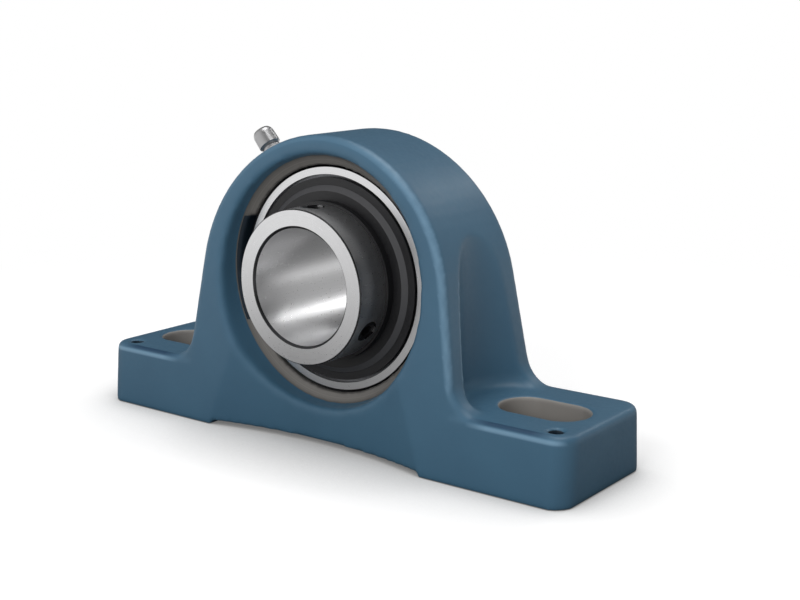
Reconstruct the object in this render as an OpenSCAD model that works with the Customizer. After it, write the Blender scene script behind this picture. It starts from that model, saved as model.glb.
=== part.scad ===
// Pillow block bearing: a cast housing on two slotted feet that carries a wide, self-aligning ball
// bearing insert. X runs along the base, Y along the shaft with the wide side of the insert at -Y,
// and Z is up. The origin lies on the mounting surface, straight under the middle of the bearing.

/* [Housing] */
// Width of the base where it meets the mounting surface
base_w = 40; // [38:0.5:48]
// Height of the feet
foot_h = 17; // [14:0.5:20]
// Radius of the upright corners of the feet
foot_corner_r = 5.6; // [4:0.2:8]
// Rounding of the top edges of the feet
foot_edge_r = 1.6; // [1:0.1:3]
// Wall of the arch round the mouth of the seat
arch_wall = 7.9; // [7:0.1:11]
// Distance of the arch's centre below the shaft
arch_drop = 2.9; // [2:0.1:5]
// Width of the arch across its faces at the top
arch_top_w = 26.5; // [24:0.5:30]
// Rounding of the edges of the arch and its legs
arch_edge_r = 1.8; // [1:0.1:4]
// Lean of the legs away from upright, in degrees
leg_lean = 9; // [5:0.5:14]
// Fillet between each leg and the top of its foot
leg_fillet_r = 8.5; // [5:0.5:12]
// Length of the relief under the middle of the base
relief_l = 70; // [50:1:80]
// Height of that relief
relief_h = 1.2; // [0.6:0.1:3]
// Depth of the hollow in each face below the bearing, at the mounting surface
scoop_depth = 4.7; // [2:0.1:6]

/* [Foot slots] */
// Distance from the side of the arch to the middle of a bolt slot
slot_step = 18.45; // [17:0.05:21]
// Distance from the middle of a bolt slot to the end of its foot
end_margin = 17.25; // [15:0.25:22]
// Length of a bolt slot
slot_l = 23.5; // [16:0.5:26]
// Width of a bolt slot
slot_w = 14; // [11:0.5:16]
// Radius of the bolt head pocket in the foot of each leg
pocket_r = 14; // [13:0.5:16]
// Fillet round the floor of that pocket
pocket_fillet_r = 3; // [1:0.5:5]
// Distance of the dowel mark in a foot from its end
dowel_end = 6; // [5:0.5:12]
// Distance of the dowel mark from the side of the foot
dowel_side = 6.4; // [6:0.2:9]
// Diameter of a dowel mark
dowel_d = 3.8; // [2:0.2:5]
// Depth of a dowel mark
dowel_depth = 3; // [1:0.5:6]

/* [Seat] */
// Height of the shaft above the mounting surface
shaft_h = 42.9; // [42:0.1:46]
// Reach of the machined spherical seat past each face of the outer ring
seat_reach = 0.6; // [0.2:0.1:1.5]
// Height of the machined chamfer over the outside of the outer ring
chamfer_rise = 1.4; // [1:0.1:2.4]
// Width of each machined chamfer
chamfer_w = 1.3; // [0.8:0.1:2]
// Draft of the cast wall outside the chamfer, in degrees
rim_draft = 6; // [2:0.5:12]
// Height of the two loading notches in the front of the seat
notch_h = 28.4; // [20:0.2:34]
// Cut of the loading notches beyond the radius of the seat
notch_relief = 0.2; // [0.1:0.05:0.6]

/* [Bearing] */
// Bore for the shaft
bore_d = 30; // [25:0.5:31]
// Wall of the inner ring beside its ball groove
inner_wall = 4.85; // [4.5:0.05:6]
// Reach of the wide side of the inner ring from the middle of the bearing
inner_reach = 22.2; // [20:0.1:25]
// Reach of its narrow side from the middle of the bearing
inner_back = 15.9; // [15:0.1:18]
// Wall of the outer ring, from the circle on which the balls run to the spherical surface
outer_wall = 8; // [7.5:0.1:9]
// Width of the outer ring
outer_w = 18; // [17:0.1:19]
// Diameter of the balls
ball_d = 9.525; // [9:0.005:9.6]
// Height of the balls' circle over the inner ring
inner_rise = 3.15; // [3:0.05:3.6]
// Height of the outer ring's inside over the balls' circle
outer_rise = 3.1; // [2.8:0.05:3.4]
// Number of balls
ball_count = 9; // [7:1:9]
// Thickness of the ball cage, radially
cage_t = 3.4; // [2:0.1:4]

/* [Seals] */
// Step of the seat of each seal into the outer ring, radially
seal_seat_step = 1.1; // [0.8:0.1:1.6]
// Depth of that seat from the face of the outer ring
seal_seat_depth = 2.1; // [1.6:0.1:2.4]
// Thickness of the steel core of each seal
seal_core_t = 0.5; // [0.3:0.1:0.8]
// Thickness of the rubber of each seal
seal_lip_t = 1.1; // [0.9:0.1:1.2]
// Thickness of each flinger
flinger_t = 0.7; // [0.5:0.1:0.8]
// Gap round the rim of each flinger
flinger_rim_gap = 0.8; // [0.4:0.1:1.2]
// Length of the sleeve by which a flinger holds to the inner ring
flinger_sleeve_l = 2.8; // [1.6:0.1:3.2]

/* [Grub screws] */
// Diameter of the two grub screws
screw_d = 6; // [5:0.5:6]
// Distance of the grub screws from the wide end of the inner ring
screw_end = 5.8; // [5:0.1:6.5]
// Size of the hexagon socket across its flats
socket_af = 3; // [2:0.1:3.2]
// Angle of the first grub screw, in degrees from +X
screw_angle = -30; // [-60:1:60]
// Angle from one grub screw to the other, in degrees
screw_spread = 120; // [60:1:150]

/* [Grease nipple] */
// Size of the hexagon across its flats
nipple_af = 6; // [5:0.1:8]
// Height of the hexagon
nipple_hex_h = 3.3; // [2:0.1:4]
// Width of the groove between the hexagon and the head
nipple_groove_w = 0.9; // [0.4:0.1:1.5]
// Diameter of the head
nipple_head_d = 6; // [5.4:0.1:7]
// Height of the head
nipple_head_h = 5.4; // [4:0.1:7]
// Diameter of the thread
nipple_thread_d = 5; // [4:0.1:5]
// Length of the thread in the casting
nipple_thread_l = 5; // [3:0.1:5.5]
// Angle of the nipple round the bearing, in degrees from +X
nipple_angle = 130; // [110:1:140]
// Distance of the nipple in front of the middle
nipple_offset = 2; // [0:0.1:5]
// Diameter of the ball that closes the nipple
check_d = 2; // [1.5:0.1:2.2]

/* [Hidden] */

// Overrun of every cut past the face that it opens
over = 1;
// How far a leg's fillet sinks into the leg and the foot, so that its surface crosses theirs
fillet_sink = 0.1;
// Height in the foot at which the rounded edges of the legs start, as a share of the foot's height
edge_start_share = 0.5;
// Depth of a leg fillet's solid, as a share of its radius
fillet_band_share = 0.6;
// Height over the foot at which a leg fillet is as wide as the housing, as a share of its radius
fillet_face_share = 0.4;
// Height of the thin discs that a hull starts from, each narrower by as much at its top, so that
// the hull meets its lower edge alone
skin = 0.02;
// Roundness of the machined parts, and of the blended casting
$fn = 96;
blend_fn = 24;
arch_fn = 72;
scoop_fn = 192;

// Rings and balls
ball_clearance = 0.02;
groove_share = 0.52;
inner_d = bore_d + 2 * inner_wall;
pitch_d = inner_d + 2 * inner_rise;
outer_land_d = pitch_d + 2 * outer_rise;
outer_d = pitch_d + 2 * outer_wall;
groove_r = ball_d * groove_share;
inner_groove_x = pitch_d / 2 + (groove_r - ball_d / 2) - ball_clearance;
outer_groove_x = pitch_d / 2 - (groove_r - ball_d / 2) + ball_clearance;
bore_chamfer = 0.6;
ring_chamfer = 0.3;
outer_chamfer = 0.64;
outer_face_r = sqrt(pow(outer_d / 2, 2) - pow(outer_w / 2, 2));

// Cage: a crown that is open to the front, with one pocket for each ball
cage_play = 0.15;
cage_rim = 0.7;
cage_horn_share = 0.34;
cage_back = ball_d / 2 + cage_play + cage_rim;
cage_front = ball_d / 2 * cage_horn_share;

// Seals and flingers
seal_seat_d = outer_land_d + 2 * seal_seat_step;
seal_shoulder = outer_w / 2 - seal_seat_depth;
seal_fit = 0.03;
seal_core_gap = 1.95;
seal_core_d = inner_d + 2 * seal_core_gap;
lip_gap = 0.08;
lip_rise = 2.85;
lip_d = inner_d + 2 * lip_rise;
flinger_gap = 0.35;
flinger_rim_w = 1.9;
flinger_slope_w = 1.5;
flinger_d = seal_seat_d - 2 * flinger_rim_gap;
flinger_plate_d = flinger_d - 2 * flinger_rim_w;
flinger_step_d = flinger_plate_d - 2 * flinger_slope_w;
flinger_step = 1;
flinger_sleeve_t = 0.75;

// Seat
seat_clearance = 0.02;
seat_r = outer_d / 2 + seat_clearance;
seat_w = outer_w + 2 * seat_reach;
seat_edge_r = sqrt(pow(seat_r, 2) - pow(seat_w / 2, 2));
seat_chamfer_r = outer_d / 2 + chamfer_rise;
seat_chamfer_w = seat_w + 2 * chamfer_w;

// Housing: the two faces lean in towards the top by the same draft
arch_r = seat_chamfer_r + arch_wall;
arch_z = shaft_h - arch_drop;
arch_top = arch_z + arch_r;
slot_pitch = 2 * (arch_r + slot_step);
base_l = slot_pitch + 2 * end_margin;
draft = (base_w - arch_top_w) / 2 / arch_top;
scoop_face = base_w / 2 - scoop_depth;
// The hollow starts a little outside the relief
scoop_margin = 0.5;
scoop_half = relief_l / 2 + scoop_margin;
// It reaches up into the bored middle
scoop_h = shaft_h - notch_h / 2;
scoop_r = (pow(scoop_half, 2) + pow(scoop_depth, 2)) / (2 * scoop_depth);
slot_end = slot_l / 2 - slot_w / 2;
pocket_shift = 3.5;
pocket_x = slot_pitch / 2 - slot_end - pocket_shift;
// How far the blended shells stand proud of the drafted faces, which then cut them to true planes
arch_proud = 0.03;
foot_proud = 0.06;

// Grub screws
screw_fit = 0.02;
screw_sink = 0.2;
screw_rim = 0.45;
screw_l = inner_wall - screw_sink - screw_rim;
screw_offset = inner_reach - screw_end;
socket_depth = 2;
screw_point_d = 3;
screw_point_h = 0.5;

// Grease nipple
nipple_fit = 0.02;
nipple_groove_d = 4.4;
nipple_bevel = 0.4;
// Outline of the head, as shares of its radius and height
head_shares = [[0.8, 0], [1, 0.1], [0.97, 0.72], [0.9, 0.86], [0.77, 0.96], [0.58, 1]];
check_gap = 0.3;
nipple_bore_d = check_d + 2 * check_gap;
mouth_share = 0.75;
nipple_mouth_d = check_d * mouth_share;
spot_margin = 0.62;
spot_d = nipple_af / cos(30) + 2 * spot_margin;
spot_depth = 0.5;
duct_d = 2.4;
check_play = 0.05;
spring_wire_d = 0.32;
spring_turns = 8;
spring_steps = 16;
wire_sides = 8;
check_seat = 1.3;
// Distance of the nipple's machined spot from the shaft's axis
nipple_drop = (shaft_h - arch_z) * sin(nipple_angle);
nipple_base = -nipple_drop - spot_depth
    + sqrt(pow(nipple_drop, 2) + pow(arch_r, 2) - pow(shaft_h - arch_z, 2));
nipple_head_z = nipple_base + nipple_hex_h + nipple_groove_w;
// Height on the nipple's axis at which its bore starts to close on the ball
check_z = nipple_head_z + nipple_head_h - check_seat;
// Middle of the closed ball: it rests against the cone under the mouth
check_ball_z = check_z + nipple_bore_d / 2 - (check_d / 2 + check_play) * sqrt(2);

// Half the width between the faces of the housing at a height
function face_half(z) = base_w / 2 - draft * z;

// A point of the leg's outer face at a height, drawn in by an inset
function leg_x(z, inset) = (arch_r - inset - (z - arch_z) * sin(leg_lean)) / cos(leg_lean);

// Turns a profile of radius and forward reach round the shaft's axis
module round_shaft() {
    translate([0, 0, shaft_h]) rotate([90, 0, 0]) rotate_extrude() children();
}

// Places a piece on the shaft's axis with its own Z axis along a radius at an angle
module on_radius(angle, forward) {
    translate([0, -forward, shaft_h]) rotate([0, 90 - angle, 0]) children();
}

// Everything between the two drafted faces
module between_faces() {
    rotate([90, 0, 90])
        linear_extrude(height = base_l + 2 * over, center = true)
            polygon([
                [-face_half(0), 0], [face_half(0), 0],
                [face_half(arch_top + over), arch_top + over],
                [-face_half(arch_top + over), arch_top + over]
            ]);
}

// Leans its children, which stand upright on one side, along that side's drafted face
module lean_to_face(side) {
    multmatrix([[1, 0, 0, 0], [0, 1, -side * draft, side * (face_half(0) + arch_proud)], [0, 0, 1, 0]])
        children();
}

// The rounded edge that runs up one leg, over the arch and down the other, on one face
module arch_edge(side) {
    edge_y = -side * arch_edge_r;
    low_z = foot_h * edge_start_share;
    lean_to_face(side) {
        translate([0, edge_y, arch_z])
            rotate([90, 0, 0])
                rotate([0, 0, leg_lean])
                    rotate_extrude(angle = 180 - 2 * leg_lean, $fn = arch_fn)
                        translate([arch_r - arch_edge_r, 0])
                            circle(r = arch_edge_r, $fn = blend_fn);
        for (end = [-1, 1])
            translate([end * leg_x(low_z, arch_edge_r), edge_y, low_z])
                rotate([0, end * -leg_lean, 0])
                    cylinder(r1 = arch_edge_r, r2 = arch_edge_r - skin, h = skin, $fn = blend_fn);
    }
}

// The arch and its two legs with every edge rounded
module arch_shell() {
    hull() {
        arch_edge(-1);
        arch_edge(1);
    }
}

// The slab of both feet, with round upright corners and rounded top edges
module foot_slab() {
    shoulder_z = foot_h - foot_edge_r;
    hull()
        for (end = [-1, 1], side = [-1, 1]) {
            translate([
                end * (base_l / 2 - foot_corner_r),
                side * (face_half(0) - foot_corner_r + foot_proud),
                0
            ])
                cylinder(r1 = foot_corner_r, r2 = foot_corner_r - skin, h = skin, $fn = blend_fn);
            translate([
                end * (base_l / 2 - foot_corner_r),
                side * (face_half(shoulder_z) - foot_corner_r + foot_proud),
                shoulder_z
            ])
                rotate_extrude($fn = blend_fn)
                    translate([foot_corner_r - foot_edge_r, 0])
                        circle(r = foot_edge_r, $fn = blend_fn);
        }
}

// The fillet that runs from a leg into the top of its foot, rounded along both faces
module leg_fillet() {
    z = foot_h + leg_fillet_r - fillet_sink;
    band = leg_fillet_r * fillet_band_share;
    half = face_half(foot_h + leg_fillet_r * fillet_face_share);
    translate([leg_x(z, fillet_sink - leg_fillet_r), 0, z])
        rotate([90, 0, 0])
            rotate([0, 0, 180 + leg_lean])
                rotate_extrude(angle = 90 - leg_lean)
                    difference() {
                        translate([leg_fillet_r, -half]) square([band, 2 * half]);
                        for (side = [-1, 1])
                            translate([leg_fillet_r, side * half])
                                mirror([0, side > 0 ? 1 : 0])
                                    fillet_corner(arch_edge_r);
                    }
}

// What a rounding of radius r takes off the corner of a profile at its origin
module fillet_corner(r) {
    difference() {
        translate([-over, -over]) square([r + over, r + over]);
        translate([r, r]) circle(r = r);
    }
}

// Clearance for a bolt head over a foot: upright walls, and a fillet round the floor
module bolt_pocket() {
    module half_profile() {
        difference() {
            square([pocket_r, arch_top]);
            translate([pocket_r - pocket_fillet_r, 0])
                difference() {
                    square([pocket_fillet_r + over, pocket_fillet_r]);
                    translate([0, pocket_fillet_r]) circle(r = pocket_fillet_r);
                }
        }
    }
    translate([pocket_x, 0, foot_h]) {
        rotate_extrude() half_profile();
        rotate([90, 0, 90])
            linear_extrude(height = base_l / 2 - pocket_x + over) {
                half_profile();
                mirror([1, 0]) half_profile();
            }
    }
}

// One bolt slot, right through a foot
module bolt_slot() {
    translate([slot_pitch / 2, 0, -over])
        linear_extrude(height = foot_h + 2 * over) {
            for (end = [-1, 1])
                translate([end * slot_end, 0]) circle(d = slot_w);
            square([2 * slot_end, slot_w], center = true);
        }
}

// The bored middle: spherical seat, machined chamfers, and cast walls that open outwards
module seat_cut() {
    half_chamfer = seat_chamfer_w / 2;
    reach = face_half(0) + over;
    wall_r = seat_chamfer_r + (reach - half_chamfer) * tan(rim_draft);
    translate([0, 0, shaft_h]) {
        sphere(r = seat_r);
        for (side = [-1, 1])
            rotate([90 * side, 0, 0]) {
                translate([0, 0, seat_w / 2])
                    cylinder(r1 = seat_edge_r, r2 = seat_chamfer_r, h = half_chamfer - seat_w / 2);
                translate([0, 0, half_chamfer])
                    cylinder(r1 = seat_chamfer_r, r2 = wall_r, h = reach - half_chamfer);
            }
        intersection() {
            rotate([90, 0, 0]) cylinder(r = seat_r + notch_relief, h = reach);
            translate([-seat_r - over, -reach - over, -notch_h / 2])
                cube([2 * (seat_r + over), reach + 2 * over, notch_h]);
        }
    }
}

// Seat, thread hole and duct of the grease nipple
module nipple_cut() {
    on_radius(nipple_angle, nipple_offset) {
        cylinder(d = duct_d, h = nipple_base);
        translate([0, 0, nipple_base - nipple_thread_l])
            cylinder(d = nipple_thread_d + 2 * nipple_fit, h = nipple_thread_l + over);
        translate([0, 0, nipple_base]) cylinder(d = spot_d, h = arch_r);
    }
}

// The rough casting: arch, feet and fillets between the drafted faces, hollowed below
module casting() {
    difference() {
        intersection() {
            union() {
                arch_shell();
                foot_slab();
                leg_fillet();
                mirror([1, 0, 0]) leg_fillet();
            }
            between_faces();
        }
        translate([-relief_l / 2, -base_w, -over])
            cube([relief_l, 2 * base_w, relief_h + over]);
        for (side = [-1, 1])
            translate([0, side * (scoop_face + scoop_r), -over])
                cylinder(r = scoop_r, h = scoop_h + over, $fn = scoop_fn);
    }
}

// The casting with its bolt pockets, slots and dowel marks
module footed_casting() {
    difference() {
        casting();
        for (end = [0, 1])
            mirror([end, 0, 0]) {
                bolt_slot();
                bolt_pocket();
                translate([base_l / 2 - dowel_end, dowel_side - base_w / 2, foot_h - dowel_depth])
                    cylinder(d = dowel_d, h = dowel_depth + over);
            }
    }
}

module housing() {
    color("steelblue")
        difference() {
            difference() {
                footed_casting();
                seat_cut();
            }
            nipple_cut();
        }
}

// Cuts a bevel of one size off the corner of a profile, as a square that stands on its own corner
module bevel_cut(size) {
    rotate([0, 0, 45]) square(size * sqrt(2), center = true);
}

module outer_ring() {
    color("silver")
        round_shaft()
            difference() {
                intersection() {
                    circle(d = outer_d);
                    translate([outer_land_d / 2, -outer_w / 2])
                        square([outer_d, outer_w]);
                }
                translate([outer_groove_x, 0]) circle(r = groove_r);
                for (side = [-1, 1])
                    mirror([0, side > 0 ? 0 : 1]) {
                        translate([0, seal_shoulder])
                            square([seal_seat_d / 2, seal_seat_depth + over]);
                        translate([outer_face_r, outer_w / 2]) bevel_cut(outer_chamfer);
                    }
            }
}

module inner_ring() {
    color("gainsboro")
        difference() {
            round_shaft()
                difference() {
                    translate([bore_d / 2, -inner_back])
                        square([inner_wall, inner_back + inner_reach]);
                    translate([inner_groove_x, 0]) circle(r = groove_r);
                    for (end = [-inner_back, inner_reach]) {
                        translate([bore_d / 2, end]) bevel_cut(bore_chamfer);
                        translate([inner_d / 2, end]) bevel_cut(ring_chamfer);
                    }
                }
            for (i = [0, 1])
                on_radius(screw_angle + i * screw_spread, screw_offset)
                    cylinder(d = screw_d + 2 * screw_fit, h = inner_d);
        }
}

module ball(i) {
    color("silver")
        translate([0, 0, shaft_h])
            rotate([0, 360 * (i - 1) / ball_count, 0])
                translate([0, 0, pitch_d / 2])
                    sphere(d = ball_d);
}

module ball_cage() {
    color("tan")
        difference() {
            round_shaft()
                translate([(pitch_d - cage_t) / 2, -cage_back])
                    square([cage_t, cage_back + cage_front]);
            for (i = [1:ball_count])
                translate([0, 0, shaft_h])
                    rotate([0, 360 * (i - 1) / ball_count, 0])
                        translate([0, 0, pitch_d / 2])
                            sphere(d = ball_d + 2 * cage_play);
        }
}

// Steel core of a seal, flat against the shoulder of its seat
module seal_core(side) {
    color("dimgray")
        round_shaft()
            mirror([0, side > 0 ? 0 : 1])
                translate([seal_core_d / 2, seal_shoulder])
                    square([seal_seat_d / 2 - seal_fit - seal_core_d / 2, seal_core_t]);
}

// Rubber lip, moulded round the inner edge of the core
module seal_lip(side) {
    color("black")
        round_shaft()
            mirror([0, side > 0 ? 0 : 1])
                difference() {
                    translate([inner_d / 2 + lip_gap, seal_shoulder])
                        square([(lip_d - inner_d) / 2 - lip_gap, seal_lip_t]);
                    translate([seal_core_d / 2 - seal_fit, seal_shoulder - over])
                        square([lip_d, seal_core_t + over]);
                }
}

// Stepped disc that turns with the inner ring and throws dirt off
module flinger(side) {
    back = seal_shoulder + seal_lip_t + flinger_gap;
    raised = back + flinger_step;
    sleeve_r = inner_d / 2 + flinger_sleeve_t;
    color("black")
        round_shaft()
            mirror([0, side > 0 ? 0 : 1])
                polygon([
                    [inner_d / 2, raised],
                    [flinger_step_d / 2, raised],
                    [flinger_plate_d / 2, back],
                    [flinger_d / 2, back],
                    [flinger_d / 2, back + flinger_t],
                    [flinger_plate_d / 2, back + flinger_t],
                    [flinger_step_d / 2, raised + flinger_t],
                    [sleeve_r, raised + flinger_t],
                    [sleeve_r, raised + flinger_sleeve_l],
                    [inner_d / 2, raised + flinger_sleeve_l]
                ]);
}

// Grub screw, with its point towards the shaft and its socket outwards
module grub_screw(i) {
    color("dimgray")
        on_radius(screw_angle + i * screw_spread, screw_offset)
            translate([0, 0, bore_d / 2 + screw_sink])
                difference() {
                    union() {
                        cylinder(d1 = screw_point_d, d2 = screw_d - 2 * screw_fit, h = screw_point_h);
                        translate([0, 0, screw_point_h])
                            cylinder(d = screw_d - 2 * screw_fit, h = screw_l - screw_point_h);
                    }
                    translate([0, 0, screw_l - socket_depth])
                        cylinder(d = socket_af / cos(30), h = socket_depth + over, $fn = 6);
                }
}

// The nipple's hexagon, with its upper corners bevelled
module nipple_hexagon() {
    corner_r = nipple_af / 2 / cos(30);
    intersection() {
        cylinder(r = corner_r, h = nipple_hex_h, $fn = 6);
        cylinder(r1 = corner_r + nipple_hex_h - nipple_bevel, r2 = corner_r - nipple_bevel, h = nipple_hex_h);
    }
}

module grease_nipple() {
    thread_r = nipple_thread_d / 2 - nipple_fit;
    color("silver")
        on_radius(nipple_angle, nipple_offset)
            difference() {
                union() {
                    translate([0, 0, nipple_base - nipple_thread_l])
                        cylinder(r = thread_r, h = nipple_thread_l);
                    translate([0, 0, nipple_base]) nipple_hexagon();
                    translate([0, 0, nipple_base])
                        cylinder(d = nipple_groove_d, h = nipple_hex_h + nipple_groove_w);
                    translate([0, 0, nipple_head_z])
                        rotate_extrude()
                            polygon(concat(
                                [for (p = head_shares) [p[0] * nipple_head_d / 2, p[1] * nipple_head_h]],
                                [[0, nipple_head_h], [0, 0]]
                            ));
                }
                translate([0, 0, nipple_base - nipple_thread_l - over])
                    cylinder(d = nipple_bore_d, h = check_z - nipple_base + nipple_thread_l + over);
                translate([0, 0, check_z])
                    cylinder(d1 = nipple_bore_d, d2 = nipple_mouth_d, h = (nipple_bore_d - nipple_mouth_d) / 2);
                translate([0, 0, nipple_base])
                    cylinder(d = nipple_mouth_d, h = nipple_head_z + nipple_head_h - nipple_base + over);
            }
}

module nipple_check_ball() {
    color("silver")
        on_radius(nipple_angle, nipple_offset)
            translate([0, 0, check_ball_z])
                sphere(d = check_d);
}

// Coil spring that holds the ball against the mouth: one wire, swept in steps round the bore, as
// rings of points that are joined side by side and closed at both ends
module nipple_spring() {
    low = nipple_base - nipple_thread_l + spring_wire_d;
    high = check_ball_z - check_d / 2 - check_play;
    wire_r = spring_wire_d / 2;
    coil_r = check_d / 2 - wire_r;
    rise = high - low - spring_wire_d;
    steps = spring_turns * spring_steps;
    points = [
        for (i = [0:steps], j = [0:wire_sides - 1])
            let (turn = 360 * i / spring_steps, side = 360 * j / wire_sides, r = coil_r + wire_r * cos(side))
                [r * cos(turn), r * sin(turn), low + wire_r + rise * i / steps + wire_r * sin(side)]
    ];
    sides = [
        for (i = [0:steps - 1], j = [0:wire_sides - 1], half = [0, 1])
            let (a = i * wire_sides + j, b = i * wire_sides + (j + 1) % wire_sides)
                half == 0 ? [a, b + wire_sides, b] : [a, a + wire_sides, b + wire_sides]
    ];
    first = [for (j = [0:wire_sides - 1]) j];
    last = [for (j = [wire_sides - 1:-1:0]) steps * wire_sides + j];
    color("gold")
        on_radius(nipple_angle, nipple_offset)
            polyhedron(points = points, faces = concat(sides, [first, last]));
}

housing();
outer_ring();
inner_ring();
ball_cage();
for (i = [1:ball_count])
    ball(i);
seal_core(1);  // front_seal_core
seal_lip(1);  // front_seal_lip
seal_core(-1);  // rear_seal_core
seal_lip(-1);  // rear_seal_lip
flinger(1);  // front_flinger
flinger(-1);  // rear_flinger
grub_screw(0);  // grub_screw_1
grub_screw(1);  // grub_screw_2
grease_nipple();
nipple_check_ball();
nipple_spring();
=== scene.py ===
import math

import bmesh
import bpy
from mathutils import Matrix, Vector


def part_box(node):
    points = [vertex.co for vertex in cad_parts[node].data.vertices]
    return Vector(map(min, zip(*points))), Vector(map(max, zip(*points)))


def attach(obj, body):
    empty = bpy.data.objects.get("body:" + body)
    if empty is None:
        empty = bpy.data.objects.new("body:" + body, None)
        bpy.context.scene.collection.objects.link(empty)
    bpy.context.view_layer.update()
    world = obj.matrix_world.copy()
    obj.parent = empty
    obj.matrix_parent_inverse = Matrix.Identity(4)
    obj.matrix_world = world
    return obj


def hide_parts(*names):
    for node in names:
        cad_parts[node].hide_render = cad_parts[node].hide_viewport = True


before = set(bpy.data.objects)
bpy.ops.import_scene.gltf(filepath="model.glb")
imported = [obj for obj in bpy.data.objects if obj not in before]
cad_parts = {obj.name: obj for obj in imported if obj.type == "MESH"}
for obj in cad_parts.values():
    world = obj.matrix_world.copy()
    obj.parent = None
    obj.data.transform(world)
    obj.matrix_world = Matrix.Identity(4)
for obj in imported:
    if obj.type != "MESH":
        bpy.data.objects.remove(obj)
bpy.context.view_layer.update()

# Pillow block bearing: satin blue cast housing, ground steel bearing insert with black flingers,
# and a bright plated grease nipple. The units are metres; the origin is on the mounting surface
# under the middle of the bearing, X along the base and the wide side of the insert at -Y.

MM = 0.001

# Sizes of the part that the pieces and finishes below follow
SHAFT_Z = 42.9 * MM
SEAT_HALF_W = 11.2 * MM
MOUTH_R = 32.9 * MM
# front edges from this radius out get a painted highlight
EDGE_HIGHLIGHT_FROM_R = 36 * MM
FLINGER_SLOPE = (23.0 * MM, 24.4 * MM)
NOTCH_HALF = 14.2 * MM
# the notches' painted shade reaches out to this radius, over the seat's chamfer there
NOTCH_R = 32.0 * MM
SLOT_X = 117.5 / 2 * MM
SLOT_END = 4.75 * MM
SLOT_R = 7 * MM
FOOT_H = 17 * MM
DOWEL_X = 70 * MM
DOWEL_Y = -13.6 * MM
DOWEL_R = 1.9 * MM
# heights of the painted highlight and the painted shade line along the feet's front edge
FOOT_HIGHLIGHT_Z = 15.6 * MM
FOOT_SHADE_LINE_Z = 16.75 * MM


def srgb(hexa):
    """An sRGB hex colour as the linear colour that shaders use."""
    parts = [int(hexa[i:i + 2], 16) / 255 for i in (1, 3, 5)]
    return tuple(c / 12.92 if c <= 0.04045 else ((c + 0.055) / 1.055) ** 2.4 for c in parts) + (1.0,)


def add(tree, kind, settings=None, links=None):
    """Adds a node, with its properties or input values, and its inputs' links."""
    made = tree.nodes.new(kind)
    for key, value in (settings or {}).items():
        if isinstance(key, str) and hasattr(made, key):
            setattr(made, key, value)
        else:
            made.inputs[key].default_value = value
    for key, socket in (links or {}).items():
        tree.links.new(socket, made.inputs[key])
    return made


def surface(name, settings):
    """A new material with its shader's own sockets set, and the parts that its pattern needs."""
    mat = bpy.data.materials.new(name)
    mat.use_nodes = True
    tree = mat.node_tree
    tree.nodes.clear()
    shader = add(tree, "ShaderNodeBsdfPrincipled", settings)
    out = add(tree, "ShaderNodeOutputMaterial", {}, {"Surface": shader.outputs[0]})
    place = add(tree, "ShaderNodeTexCoord")
    mat.diffuse_color = shader.inputs["Base Color"].default_value
    return mat, tree, shader, place.outputs["Object"]


def shades(tree, fac, low, high, start=0.0, end=1.0):
    """Runs a pattern's value from one colour to another."""
    ramp = add(tree, "ShaderNodeValToRGB", {}, {"Fac": fac})
    ramp.color_ramp.elements[0].position = start
    ramp.color_ramp.elements[0].color = low
    ramp.color_ramp.elements[1].position = end
    ramp.color_ramp.elements[1].color = high
    return ramp.outputs["Color"]


def levels(tree, fac, low, high, start=0.0, end=1.0):
    """Runs a pattern's value from one number to another."""
    made = add(tree, "ShaderNodeMapRange", {"From Min": start, "From Max": end, "To Min": low, "To Max": high},
               {"Value": fac})
    return made.outputs["Result"]


def turned(tree, place, axis_z):
    """Radius from the shaft's axis, for the marks that turning and grinding leave round it."""
    moved = add(tree, "ShaderNodeVectorMath", {"operation": "SUBTRACT", 1: (0, 0, axis_z)}, {0: place})
    flat = add(tree, "ShaderNodeVectorMath", {"operation": "MULTIPLY", 1: (1, 0, 1)}, {0: moved.outputs[0]})
    return add(tree, "ShaderNodeVectorMath", {"operation": "LENGTH"}, {0: flat.outputs[0]}).outputs["Value"]


def inside(tree, value, low, high):
    """1 where a value lies between two limits, and 0 elsewhere."""
    above = add(tree, "ShaderNodeMath", {"operation": "GREATER_THAN", 1: low}, {0: value})
    below = add(tree, "ShaderNodeMath", {"operation": "LESS_THAN", 1: high}, {0: value})
    return add(tree, "ShaderNodeMath", {"operation": "MULTIPLY"}, {0: above.outputs[0], 1: below.outputs[0]}).outputs[0]


def near(tree, value, middle, most, width):
    """A number at its most where a value is at the middle, and 0 from a width away."""
    off = add(tree, "ShaderNodeMath", {"operation": "SUBTRACT", 1: middle}, {0: value})
    off = add(tree, "ShaderNodeMath", {"operation": "ABSOLUTE"}, {0: off.outputs[0]})
    return levels(tree, off.outputs[0], most, 0.0, 0.3 * width, width)


def joined(tree, operation, first, second):
    """One number from two."""
    return add(tree, "ShaderNodeMath", {"operation": operation}, {0: first, 1: second}).outputs[0]


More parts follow.
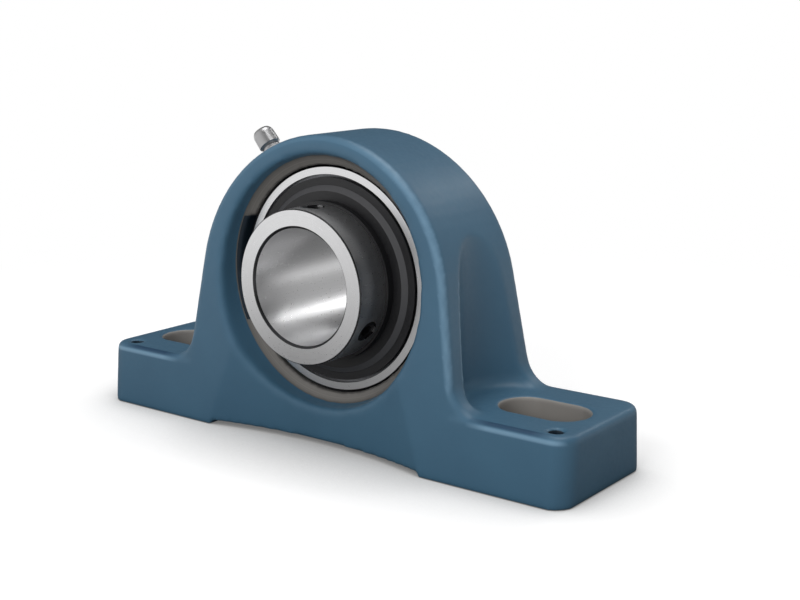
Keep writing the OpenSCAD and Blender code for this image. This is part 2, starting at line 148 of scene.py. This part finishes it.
def machined_places(tree, place, radius):
    """1 on the machined places of the casting, which stay unpainted: the seat with its chamfers, and
    the walls of the bolt slots with the soles of the feet. The loading notches stay as cast. Then
    the places that are painted dark as shade: the notches and the dowel holes."""
    axes = add(tree, "ShaderNodeSeparateXYZ", {}, {0: place})
    x, y, z = axes.outputs
    # the loading notches, which get painted shade
    notch = joined(tree, "MULTIPLY", inside(tree, z, SHAFT_Z - NOTCH_HALF, SHAFT_Z + NOTCH_HALF),
                   joined(tree, "MULTIPLY", inside(tree, y, -1.0, -0.0005), inside(tree, radius, 0, NOTCH_R)))
    seat = joined(tree, "MULTIPLY", inside(tree, radius, 0, MOUTH_R), inside(tree, y, -SEAT_HALF_W, SEAT_HALF_W))
    seat = joined(tree, "SUBTRACT", seat, notch)
    across = add(tree, "ShaderNodeMath", {"operation": "ABSOLUTE"}, {0: x}).outputs[0]
    aside = add(tree, "ShaderNodeMath", {"operation": "SUBTRACT", 1: SLOT_X}, {0: across}).outputs[0]
    aside = add(tree, "ShaderNodeMath", {"operation": "ABSOLUTE"}, {0: aside}).outputs[0]
    aside = add(tree, "ShaderNodeMath", {"operation": "SUBTRACT", 1: SLOT_END, "use_clamp": True}, {0: aside})
    away = flat_length(tree, aside.outputs[0], y)
    slot = joined(tree, "MULTIPLY", inside(tree, away, -1.0, SLOT_R + 0.3 * MM),
                  inside(tree, z, -1.0, FOOT_H - 0.2 * MM))
    slot = joined(tree, "MAXIMUM", slot, inside(tree, z, -1.0, 0.2 * MM))
    # the dowel holes, which get painted shade
    to_dowel = flat_length(tree, add(tree, "ShaderNodeMath", {"operation": "SUBTRACT", 1: DOWEL_X}, {0: across}).outputs[0],
                           add(tree, "ShaderNodeMath", {"operation": "SUBTRACT", 1: DOWEL_Y}, {0: y}).outputs[0])
    dowel = joined(tree, "MULTIPLY", inside(tree, to_dowel, -1.0, DOWEL_R), inside(tree, z, 0, FOOT_H - 0.25 * MM))
    return seat, slot, notch, dowel


def flat_length(tree, first, second):
    """The length of the vector that two numbers make."""
    both = add(tree, "ShaderNodeCombineXYZ", {}, {0: first, 1: second})
    return add(tree, "ShaderNodeVectorMath", {"operation": "LENGTH"}, {0: both.outputs[0]}).outputs["Value"]


def painted_casting():
    """Satin alkyd enamel sprayed over sand-cast grey iron: an even blue film that keeps a trace of
    the sand's grain and lies slightly uneven. Where a boring bar or a cutter has been, the iron is
    bare: matt, warm grey, with fine rings of tool marks in the seat. The slots' walls are paler."""
    mat, tree, shader, place = surface("satin_enamel_on_cast_iron", {
        "Base Color": srgb("#365C78"), "Roughness": 0.46, "IOR": 1.5})
    radius = turned(tree, place, SHAFT_Z)
    seat, slot, notch, dowel = machined_places(tree, place, radius)
    bare = joined(tree, "MAXIMUM", seat, slot)
    cloud = add(tree, "ShaderNodeTexNoise", {"Scale": 1 / (22 * MM), "Detail": 3.0, "Roughness": 0.5},
                {"Vector": place})
    paint = shades(tree, cloud.outputs["Fac"], srgb("#385A71"), srgb("#3C6077"), 0.3, 0.7)
    # the film's unevenness has waves of 1.4 mm, and the sand's grain shows through it
    film = add(tree, "ShaderNodeTexNoise", {"Scale": 1 / (1.4 * MM), "Detail": 4.0, "Roughness": 0.55},
               {"Vector": place})
    # tool marks 0.3 mm apart, coarser than real ones, so that they show at the size of the picture
    marks = add(tree, "ShaderNodeTexNoise", {"noise_dimensions": "1D", "Scale": 1 / (0.3 * MM), "Detail": 2.0},
                {"W": radius})
    iron = shades(tree, marks.outputs["Fac"], srgb("#6E6C69"), srgb("#85827E"), 0.3, 0.7)
    milled = shades(tree, cloud.outputs["Fac"], srgb("#7B7875"), srgb("#85827E"), 0.3, 0.7)
    # painted highlight: a lighter line along the front edges, most of all at the arch's right
    shape = add(tree, "ShaderNodeNewGeometry")
    edge_highlight = joined(tree, "MULTIPLY", levels(tree, shape.outputs["Pointiness"], 0.0, 1.0, 0.51, 0.55),
                  inside(tree, radius, EDGE_HIGHLIGHT_FROM_R, 1.0))
    axes = add(tree, "ShaderNodeSeparateXYZ", {}, {0: place})
    arch = joined(tree, "MULTIPLY", inside(tree, axes.outputs["Y"], -1.0, -9 * MM),
                  levels(tree, axes.outputs["Z"], 0.0, 1.0, FOOT_H + 1 * MM, FOOT_H + 9 * MM))
    arch = joined(tree, "MULTIPLY", arch, levels(tree, axes.outputs["X"], 0.25, 1.0, 5 * MM, 25 * MM))
    # on the feet a painted highlight lies under the front edge, and a painted dark line of shade over it
    across = add(tree, "ShaderNodeMath", {"operation": "ABSOLUTE"}, {0: axes.outputs["X"]}).outputs[0]
    on_foot = levels(tree, across, 0.0, 1.0, 48 * MM, 54 * MM)
    foot_highlight = joined(tree, "MULTIPLY", near(tree, axes.outputs["Z"], FOOT_HIGHLIGHT_Z, 0.38, 0.75 * MM),
                    levels(tree, axes.outputs["Y"], 1.0, 0.0, -18.2 * MM, -16.4 * MM))
    edge_highlight = joined(tree, "MAXIMUM", joined(tree, "MULTIPLY", edge_highlight, arch), joined(tree, "MULTIPLY", foot_highlight, on_foot))
    foot_shade_line = joined(tree, "MULTIPLY", near(tree, axes.outputs["Z"], FOOT_SHADE_LINE_Z, 0.85, 0.6 * MM),
                      inside(tree, axes.outputs["Y"], -18.9 * MM, -16.9 * MM))
    foot_shade_line = joined(tree, "MULTIPLY", foot_shade_line, on_foot)
    foot_shade_line = joined(tree, "MULTIPLY", foot_shade_line, levels(tree, across, 1.0, 0.0, 66 * MM, 71 * MM))
    colour = paint
    # painted highlight and shade along the edges, painted shade in the notches and dowel holes, then bare iron
    for mask, shade in ((edge_highlight, srgb("#93B8D2")), (foot_shade_line, srgb("#12344F")), (notch, srgb("#16222C")), (seat, iron), (slot, milled), (dowel, srgb("#14212C"))):
        mixed = add(tree, "ShaderNodeMix", {"data_type": "RGBA"}, {0: mask, 6: colour})
        if isinstance(shade, tuple):
            mixed.inputs[7].default_value = shade
        else:
            tree.links.new(shade, mixed.inputs[7])
        colour = mixed.outputs[2]
    tree.links.new(colour, shader.inputs["Base Color"])
    gloss = add(tree, "ShaderNodeMix", {"data_type": "FLOAT"},
                {0: bare, 2: levels(tree, film.outputs["Fac"], 0.42, 0.5, 0.3, 0.7),
                 3: levels(tree, marks.outputs["Fac"], 0.42, 0.55, 0.3, 0.7)})
    tree.links.new(gloss.outputs[0], shader.inputs["Roughness"])
    tree.links.new(levels(tree, seat, 0.0, 0.7), shader.inputs["Metallic"])
    grain = add(tree, "ShaderNodeMix", {"data_type": "FLOAT"}, {0: seat, 2: film.outputs["Fac"], 3: marks.outputs["Fac"]})
    bump = add(tree, "ShaderNodeBump", {"Strength": 0.12, "Distance": 0.04 * MM}, {"Height": grain.outputs[0]})
    tree.links.new(bump.outputs[0], shader.inputs["Normal"])
    return mat


def ground_steel():
    """Hardened chromium steel, ground: bright, with a fine grain from the wheel round the axis, which
    spreads the light into bright and dull sectors. The chamfers keep the dark scale of hardening."""
    mat, tree, shader, place = surface("ground_bearing_steel", {
        "Base Color": srgb("#D8D8D9"), "Metallic": 1.0, "Roughness": 0.3, "Anisotropic": 0.35})
    radius = turned(tree, place, SHAFT_Z)
    # the wheel's scratches are 0.12 mm apart here, coarser than real ones, so that they show
    ring = add(tree, "ShaderNodeTexNoise", {"noise_dimensions": "1D", "Scale": 1 / (0.12 * MM), "Detail": 2.0},
               {"W": radius})
    grain = add(tree, "ShaderNodeTexNoise", {"Scale": 1 / (0.5 * MM), "Detail": 3.0}, {"Vector": place})
    ground = shades(tree, ring.outputs["Fac"], srgb("#DADADB"), srgb("#E6E6E7"), 0.3, 0.7)
    facing = add(tree, "ShaderNodeTexCoord")
    along = add(tree, "ShaderNodeSeparateXYZ", {}, {0: facing.outputs["Normal"]})
    along = add(tree, "ShaderNodeMath", {"operation": "ABSOLUTE"}, {0: along.outputs["Y"]}).outputs[0]
    chamfer = inside(tree, along, 0.4, 0.96)
    colour = add(tree, "ShaderNodeMix", {"data_type": "RGBA", 7: srgb("#4C4C4E")}, {0: chamfer, 6: ground})
    tree.links.new(colour.outputs[2], shader.inputs["Base Color"])
    tree.links.new(levels(tree, grain.outputs["Fac"], 0.27, 0.35, 0.3, 0.7), shader.inputs["Roughness"])
    bump = add(tree, "ShaderNodeBump", {"Strength": 0.1, "Distance": 0.004 * MM}, {"Height": ring.outputs["Fac"]})
    tree.links.new(bump.outputs[0], shader.inputs["Normal"])
    arm = add(tree, "ShaderNodeVectorMath", {"operation": "SUBTRACT", 1: (0, 0, SHAFT_Z)}, {0: place})
    around = add(tree, "ShaderNodeVectorMath", {"operation": "CROSS_PRODUCT", 1: (0, 1, 0)}, {0: arm.outputs[0]})
    way = add(tree, "ShaderNodeVectorTransform", {"convert_from": "OBJECT", "convert_to": "WORLD"},
              {0: around.outputs[0]})
    tree.links.new(way.outputs[0], shader.inputs["Tangent"])
    return mat


def seal_rubber():
    """Black nitrile rubber from a polished mould: a dull sheen with a very fine grain."""
    mat, tree, shader, place = surface("moulded_nitrile_rubber", {
        "Base Color": srgb("#1B1B1D"), "Roughness": 0.55, "IOR": 1.5})
    grain = add(tree, "ShaderNodeTexNoise", {"Scale": 1 / (0.4 * MM), "Detail": 3.0}, {"Vector": place})
    colour = shades(tree, grain.outputs["Fac"], srgb("#171719"), srgb("#202022"), 0.3, 0.7)
    tree.links.new(colour, shader.inputs["Base Color"])
    bump = add(tree, "ShaderNodeBump", {"Strength": 0.1, "Distance": 0.02 * MM}, {"Height": grain.outputs["Fac"]})
    tree.links.new(bump.outputs[0], shader.inputs["Normal"])
    return mat


def flinger_coat():
    """Sheet steel, pressed and covered with black rubber: satin, a little shinier than the seal. The
    slope between the two flats is painted greyer: a painted highlight along its ridge."""
    mat, tree, shader, place = surface("rubber_covered_pressed_steel", {
        "Base Color": srgb("#171719"), "Roughness": 0.48, "IOR": 1.5})
    grain = add(tree, "ShaderNodeTexNoise", {"Scale": 1 / (0.8 * MM), "Detail": 3.0}, {"Vector": place})
    tree.links.new(levels(tree, grain.outputs["Fac"], 0.42, 0.54, 0.3, 0.7), shader.inputs["Roughness"])
    rubber = shades(tree, grain.outputs["Fac"], srgb("#131315"), srgb("#1A1A1C"), 0.3, 0.7)
    # painted highlight: the slope between the two flats is greyer
    slope = inside(tree, turned(tree, place, SHAFT_Z), *FLINGER_SLOPE)
    colour = add(tree, "ShaderNodeMix", {"data_type": "RGBA", 7: srgb("#444446")}, {0: slope, 6: rubber})
    tree.links.new(colour.outputs[2], shader.inputs["Base Color"])
    return mat


def pressed_steel():
    """Cold-rolled sheet steel as pressed: dull grey, with faint rolling grain."""
    mat, tree, shader, place = surface("pressed_sheet_steel", {
        "Base Color": srgb("#7C7D80"), "Metallic": 1.0, "Roughness": 0.45})
    grain = add(tree, "ShaderNodeTexNoise", {"Scale": 1 / (0.6 * MM), "Detail": 3.0}, {"Vector": place})
    colour = shades(tree, grain.outputs["Fac"], srgb("#737477"), srgb("#86878A"), 0.3, 0.7)
    tree.links.new(colour, shader.inputs["Base Color"])
    return mat


def blackened_steel():
    """Hardened steel blackened in hot salts: almost black, with an oily satin shine."""
    mat, tree, shader, place = surface("blackened_steel", {
        "Base Color": srgb("#2A2A2C"), "Metallic": 0.8, "Roughness": 0.4})
    grain = add(tree, "ShaderNodeTexNoise", {"Scale": 1 / (0.5 * MM), "Detail": 3.0}, {"Vector": place})
    tree.links.new(levels(tree, grain.outputs["Fac"], 0.34, 0.5, 0.3, 0.7), shader.inputs["Roughness"])
    return mat


def zinc_plate():
    """Bright zinc plating on turned steel: pale grey metal, smooth, with slight clouds."""
    mat, tree, shader, place = surface("bright_zinc_plate", {
        "Base Color": srgb("#B0B0B1"), "Metallic": 1.0, "Roughness": 0.35})
    cloud = add(tree, "ShaderNodeTexNoise", {"Scale": 1 / (1.5 * MM), "Detail": 3.0}, {"Vector": place})
    tree.links.new(levels(tree, cloud.outputs["Fac"], 0.3, 0.4, 0.3, 0.7), shader.inputs["Roughness"])
    return mat


def polished_steel():
    """Lapped chromium steel balls: a mirror, with next to no grain."""
    mat, tree, shader, place = surface("lapped_ball_steel", {
        "Base Color": srgb("#D0D0D2"), "Metallic": 1.0, "Roughness": 0.08})
    cloud = add(tree, "ShaderNodeTexNoise", {"Scale": 1 / (2 * MM), "Detail": 2.0}, {"Vector": place})
    tree.links.new(levels(tree, cloud.outputs["Fac"], 0.06, 0.11, 0.3, 0.7), shader.inputs["Roughness"])
    return mat


def spring_wire():
    """Drawn spring wire: bright grey, with the die's fine lines."""
    mat, tree, shader, place = surface("drawn_spring_wire", {
        "Base Color": srgb("#A6A6A8"), "Metallic": 1.0, "Roughness": 0.3})
    grain = add(tree, "ShaderNodeTexNoise", {"Scale": 1 / (0.2 * MM), "Detail": 2.0}, {"Vector": place})
    tree.links.new(levels(tree, grain.outputs["Fac"], 0.25, 0.38, 0.3, 0.7), shader.inputs["Roughness"])
    return mat


def moulded_polyamide():
    """Glass-filled polyamide, natural: warm ivory and matt, with a faint fibre grain."""
    mat, tree, shader, place = surface("moulded_polyamide", {
        "Base Color": srgb("#CDBF9F"), "Roughness": 0.5, "IOR": 1.53})
    grain = add(tree, "ShaderNodeTexNoise", {"Scale": 1 / (0.5 * MM), "Detail": 4.0}, {"Vector": place})
    colour = shades(tree, grain.outputs["Fac"], srgb("#C3B492"), srgb("#D6C9AB"), 0.3, 0.7)
    tree.links.new(colour, shader.inputs["Base Color"])
    return mat


STEEL = ground_steel()


def bmesh_of(node):
    """A copy of a CAD node's mesh with its loose triangles joined."""
    bm = bmesh.new()
    bm.from_mesh(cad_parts[node].data)
    bmesh.ops.remove_doubles(bm, verts=bm.verts, dist=0.0005 * MM)
    return bm


def piece(name, bm, body, mats, node=None, smooth=30):
    """Makes a piece of a bmesh: smooth up to an angle, riding on its body, with its finish."""
    mesh = bpy.data.meshes.new(name)
    bm.to_mesh(mesh)
    bm.free()
    for mat in mats:
        mesh.materials.append(mat)
    mesh.polygons.foreach_set("use_smooth", [True] * len(mesh.polygons))
    mesh.set_sharp_from_angle(angle=math.radians(smooth))
    made = bpy.data.objects.new(name, mesh)
    bpy.context.scene.collection.objects.link(made)
    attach(made, body)
    if node:
        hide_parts(node)
    return made


def cast_housing():
    """The casting, remade of even small faces, so that smoothing rounds every edge as the mould's
    sand and the paint do, and no more than the CAD's own box allows."""
    bm = bmesh_of("housing")
    mesh = bpy.data.meshes.new("housing_skin")
    bm.to_mesh(mesh)
    bm.free()
    skin = bpy.data.objects.new("housing_skin", mesh)
    bpy.context.scene.collection.objects.link(skin)
    even = skin.modifiers.new("even_faces", "REMESH")
    even.mode = "VOXEL"
    even.voxel_size = 0.6 * MM
    bpy.context.view_layer.update()
    evened = bpy.data.meshes.new_from_object(skin.evaluated_get(bpy.context.evaluated_depsgraph_get()))
    bpy.data.objects.remove(skin)
    bm = bmesh.new()
    bm.from_mesh(evened)
    machined = {v for v in bm.verts if math.hypot(v.co.x, v.co.z - SHAFT_Z) < MOUTH_R and abs(v.co.y) < SEAT_HALF_W}
    rough = [v for v in bm.verts if v not in machined]
    lead_in = [v for v in rough if math.hypot(v.co.x, v.co.z - SHAFT_Z) < MOUTH_R + 2.5 * MM]
    for moved in [bm.verts] * 2 + [rough] * 2 + [lead_in] * 12:
        bmesh.ops.smooth_vert(bm, verts=moved, factor=0.5, use_axis_x=True, use_axis_y=True, use_axis_z=True)
    low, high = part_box("housing")
    for vert in bm.verts:
        vert.co = Vector(min(max(c, a), b) for c, a, b in zip(vert.co, low, high))
    return piece("cast_housing", bm, "housing_body", [painted_casting()], "housing", 60)


cast_housing()

FINISHES = {
    "outer_ring": STEEL,
    "inner_ring": STEEL,
    "ball_cage": moulded_polyamide(),
    "front_seal_core": pressed_steel(),
    "front_seal_lip": seal_rubber(),
    "front_flinger": flinger_coat(),
    "grub_screw_1": blackened_steel(),
    "grease_nipple": zinc_plate(),
    "nipple_check_ball": polished_steel(),
    "nipple_spring": spring_wire(),
}
FINISHES["rear_seal_core"] = FINISHES["front_seal_core"]
FINISHES["rear_seal_lip"] = FINISHES["front_seal_lip"]
FINISHES["rear_flinger"] = FINISHES["front_flinger"]
FINISHES["grub_screw_2"] = FINISHES["grub_screw_1"]
for number in range(1, 10):
    FINISHES["ball_%d" % number] = FINISHES["nipple_check_ball"]

for name, mat in FINISHES.items():
    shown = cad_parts[name]
    if not shown.material_slots:
        shown.data.materials.append(mat)
    for slot in shown.material_slots:
        slot.material = mat


def studio():
    """A pale floor that runs out into white, an even grey surround with a white flat front left and a
    grey one rear right for metal to mirror, and soft lamps: a key from the front, a wide one overhead,
    a small one behind, and one at the front right."""
    world = bpy.data.worlds.new("studio")
    bpy.context.scene.world = world
    world.use_nodes = True
    tree = world.node_tree
    tree.nodes.clear()
    path = add(tree, "ShaderNodeLightPath")
    place = add(tree, "ShaderNodeTexCoord")
    shine = joined(tree, "MAXIMUM", path.outputs["Is Glossy Ray"], path.outputs["Is Transmission Ray"])
    # what metal mirrors: a white flat stands front left and a grey one rear right, dim between them
    side = add(tree, "ShaderNodeVectorMath", {"operation": "DOT_PRODUCT", 1: (-0.6, -0.8, 0)},
               {0: place.outputs["Generated"]}).outputs["Value"]
    mirrored = joined(tree, "MAXIMUM", levels(tree, side, 0.08, 0.9, 0.2, 0.9), levels(tree, side, 0.08, 0.45, -0.3, -0.9))
    level = add(tree, "ShaderNodeMix", {"data_type": "FLOAT", 2: 0.33}, {0: shine, 3: mirrored})
    around = add(tree, "ShaderNodeBackground", {"Color": srgb("#FFFFFF")}, {"Strength": level.outputs[0]})
    white = add(tree, "ShaderNodeBackground", {"Color": srgb("#FFFFFF"), "Strength": 1.0})
    mixed = add(tree, "ShaderNodeMixShader", {},
                {0: path.outputs["Is Camera Ray"], 1: around.outputs[0], 2: white.outputs[0]})
    add(tree, "ShaderNodeOutputWorld", {}, {"Surface": mixed.outputs[0]})

    mat = bpy.data.materials.new("pale_floor")
    mat.use_nodes = True
    tree = mat.node_tree
    tree.nodes.clear()
    place = add(tree, "ShaderNodeTexCoord")
    far = add(tree, "ShaderNodeVectorMath", {"operation": "LENGTH"}, {0: place.outputs["Object"]})
    far = levels(tree, far.outputs["Value"], 0.0, 1.0, 0.12, 0.28)
    path = add(tree, "ShaderNodeLightPath")
    # the light that the floor throws back on the object is held down, and the camera sees it near white
    tone = add(tree, "ShaderNodeMix", {"data_type": "RGBA", 6: srgb("#888888"), 7: srgb("#E4E4E4")},
               {0: path.outputs["Is Camera Ray"]})
    # painted contact shadow: ambient occlusion darkens the floor's colour and the camera's glow near the object
    shade = add(tree, "ShaderNodeAmbientOcclusion", {"samples": 8, "Distance": 42 * MM}, {"Color": tone.outputs[2]})
    base = add(tree, "ShaderNodeBsdfDiffuse", {}, {"Color": shade.outputs["Color"]})
    lift = joined(tree, "MULTIPLY", levels(tree, path.outputs["Is Camera Ray"], 0.0, 0.36),
                  levels(tree, shade.outputs["AO"], 0.4, 1.0))
    lift = add(tree, "ShaderNodeEmission", {"Color": srgb("#FFFFFF")}, {"Strength": lift})
    near = add(tree, "ShaderNodeAddShader", {}, {0: base.outputs[0], 1: lift.outputs[0]})
    glow = add(tree, "ShaderNodeEmission", {"Color": srgb("#FFFFFF"), "Strength": 1.0})
    mixed = add(tree, "ShaderNodeMixShader", {}, {0: far, 1: near.outputs[0], 2: glow.outputs[0]})
    add(tree, "ShaderNodeOutputMaterial", {}, {"Surface": mixed.outputs[0]})
    bm = bmesh.new()
    bmesh.ops.create_grid(bm, x_segments=1, y_segments=1, size=6.0)
    bmesh.ops.translate(bm, vec=(0, 0, -0.05 * MM), verts=bm.verts)
    mesh = bpy.data.meshes.new("floor")
    bm.to_mesh(mesh)
    bm.free()
    mesh.materials.append(mat)
    floor = bpy.data.objects.new("floor", mesh)
    bpy.context.scene.collection.objects.link(floor)

    for name, place, wide, high, power in (
            ("key_lamp", (0.05, -0.95, 0.5), 0.7, 0.5, 5.1),
            ("top_lamp", (0.05, 0.02, 0.9), 0.8, 0.5, 3.9),
            ("back_lamp", (0.18, 0.8, 0.6), 0.2, 0.12, 0.65),
            ("side_lamp", (0.55, -0.6, 0.3), 0.25, 0.5, 1.0)):
        lamp = bpy.data.lights.new(name, "AREA")
        lamp.shape = "RECTANGLE"
        lamp.size = wide
        lamp.size_y = high
        lamp.energy = power
        holder = bpy.data.objects.new(name, lamp)
        # beside the flats, metal mirrors the lamps above and behind alone
        holder.visible_glossy = name in ("top_lamp", "back_lamp")
        holder.location = place
        aim = Vector((0, 0, 0.04)) - Vector(place)
        holder.rotation_euler = aim.to_track_quat("-Z", "Y").to_euler()
        bpy.context.scene.collection.objects.link(holder)


def camera():
    """The photograph's camera, as a fit of the part's edges gives it."""
    lens = bpy.data.cameras.new("camera")
    lens.sensor_width = 36
    lens.lens = 60.26
    lens.clip_start = 0.01
    lens.clip_end = 20
    holder = bpy.data.objects.new("camera", lens)
    holder.location = (217.5 * MM, -268.2 * MM, 111.6 * MM)
    holder.rotation_euler = (math.radians(90 - 12.369), 0, math.radians(37.053))
    bpy.context.scene.collection.objects.link(holder)
    bpy.context.scene.camera = holder


studio()
camera()
bpy.context.scene.view_settings.view_transform = "Standard"
